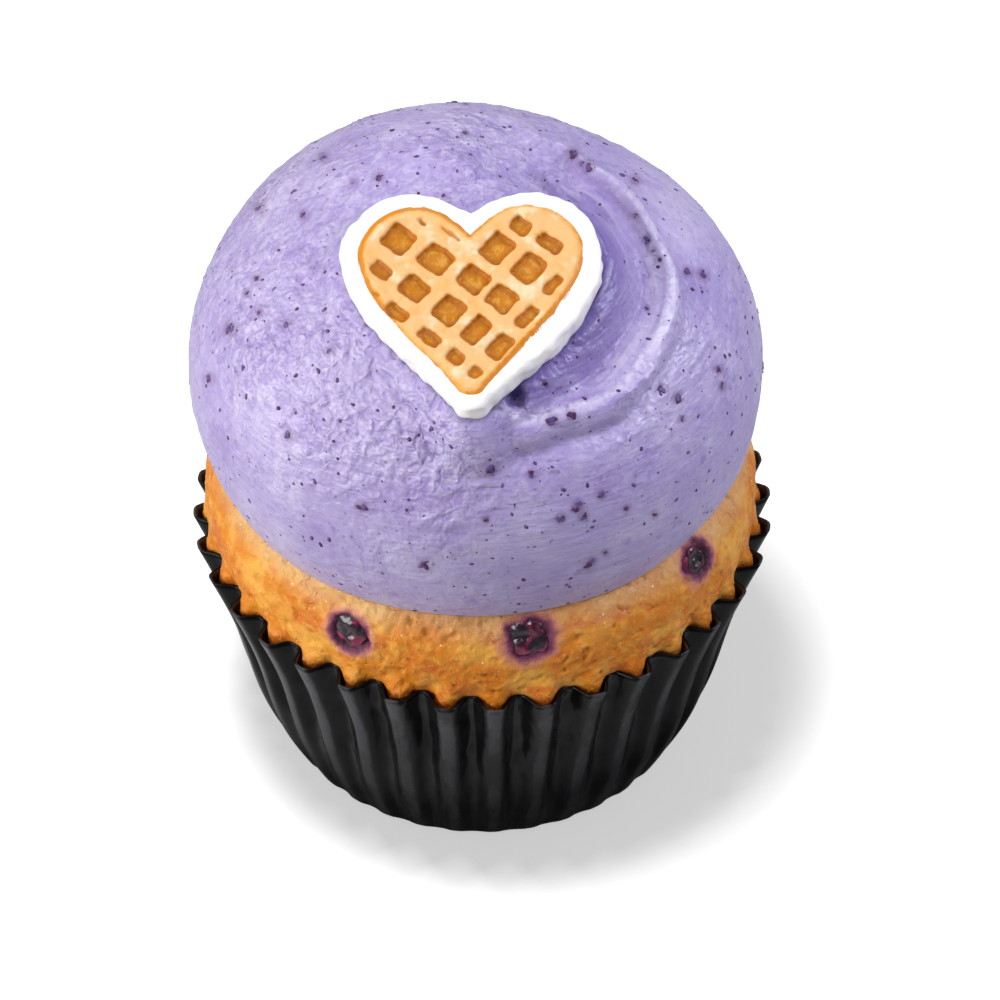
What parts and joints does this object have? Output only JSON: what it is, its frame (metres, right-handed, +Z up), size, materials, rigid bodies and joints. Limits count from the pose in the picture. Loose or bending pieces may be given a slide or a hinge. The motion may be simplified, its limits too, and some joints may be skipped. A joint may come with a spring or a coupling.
{
  "type": "frosted blueberry cupcake with a waffle heart",
  "caption": "Cupcake in a black pleated paper case, with baked-in blueberries, a round mound of lavender blueberry frosting, and a sugar heart that holds a golden waffle heart.",
  "frame": {"origin": "middle of the paper case's flat base, on the surface that the cupcake stands on", "axes": "+Z up, -Y towards the front, where the tip of the heart points, +X to the right as seen from the front"},
  "size_m": [0.073, 0.073, 0.0902],
  "materials": {
    "black_paper": "glossy black greaseproof paper, dark brown inside",
    "golden_crumb": "baked golden cake crust with fine pores",
    "berry_skin": "baked blueberry skin, dark purple with a soft shine",
    "lavender_cream": "creamy lavender frosting with dark blueberry specks",
    "white_sugar": "smooth white sugar",
    "golden_waffle": "golden waffle with darker caramel pockets"
  },
  "bodies": {
    "root": {"paper_case": "black_paper", "cake": "golden_crumb", "berry_front_left": "berry_skin", "berry_front_middle": "berry_skin", "berry_front_right": "berry_skin", "berry_side_right": "berry_skin", "berry_back": "berry_skin", "berry_side_left": "berry_skin", "frosting": "lavender_cream", "sugar_heart": "white_sugar", "waffle_heart": "golden_waffle"}
  },
  "joints": []
}
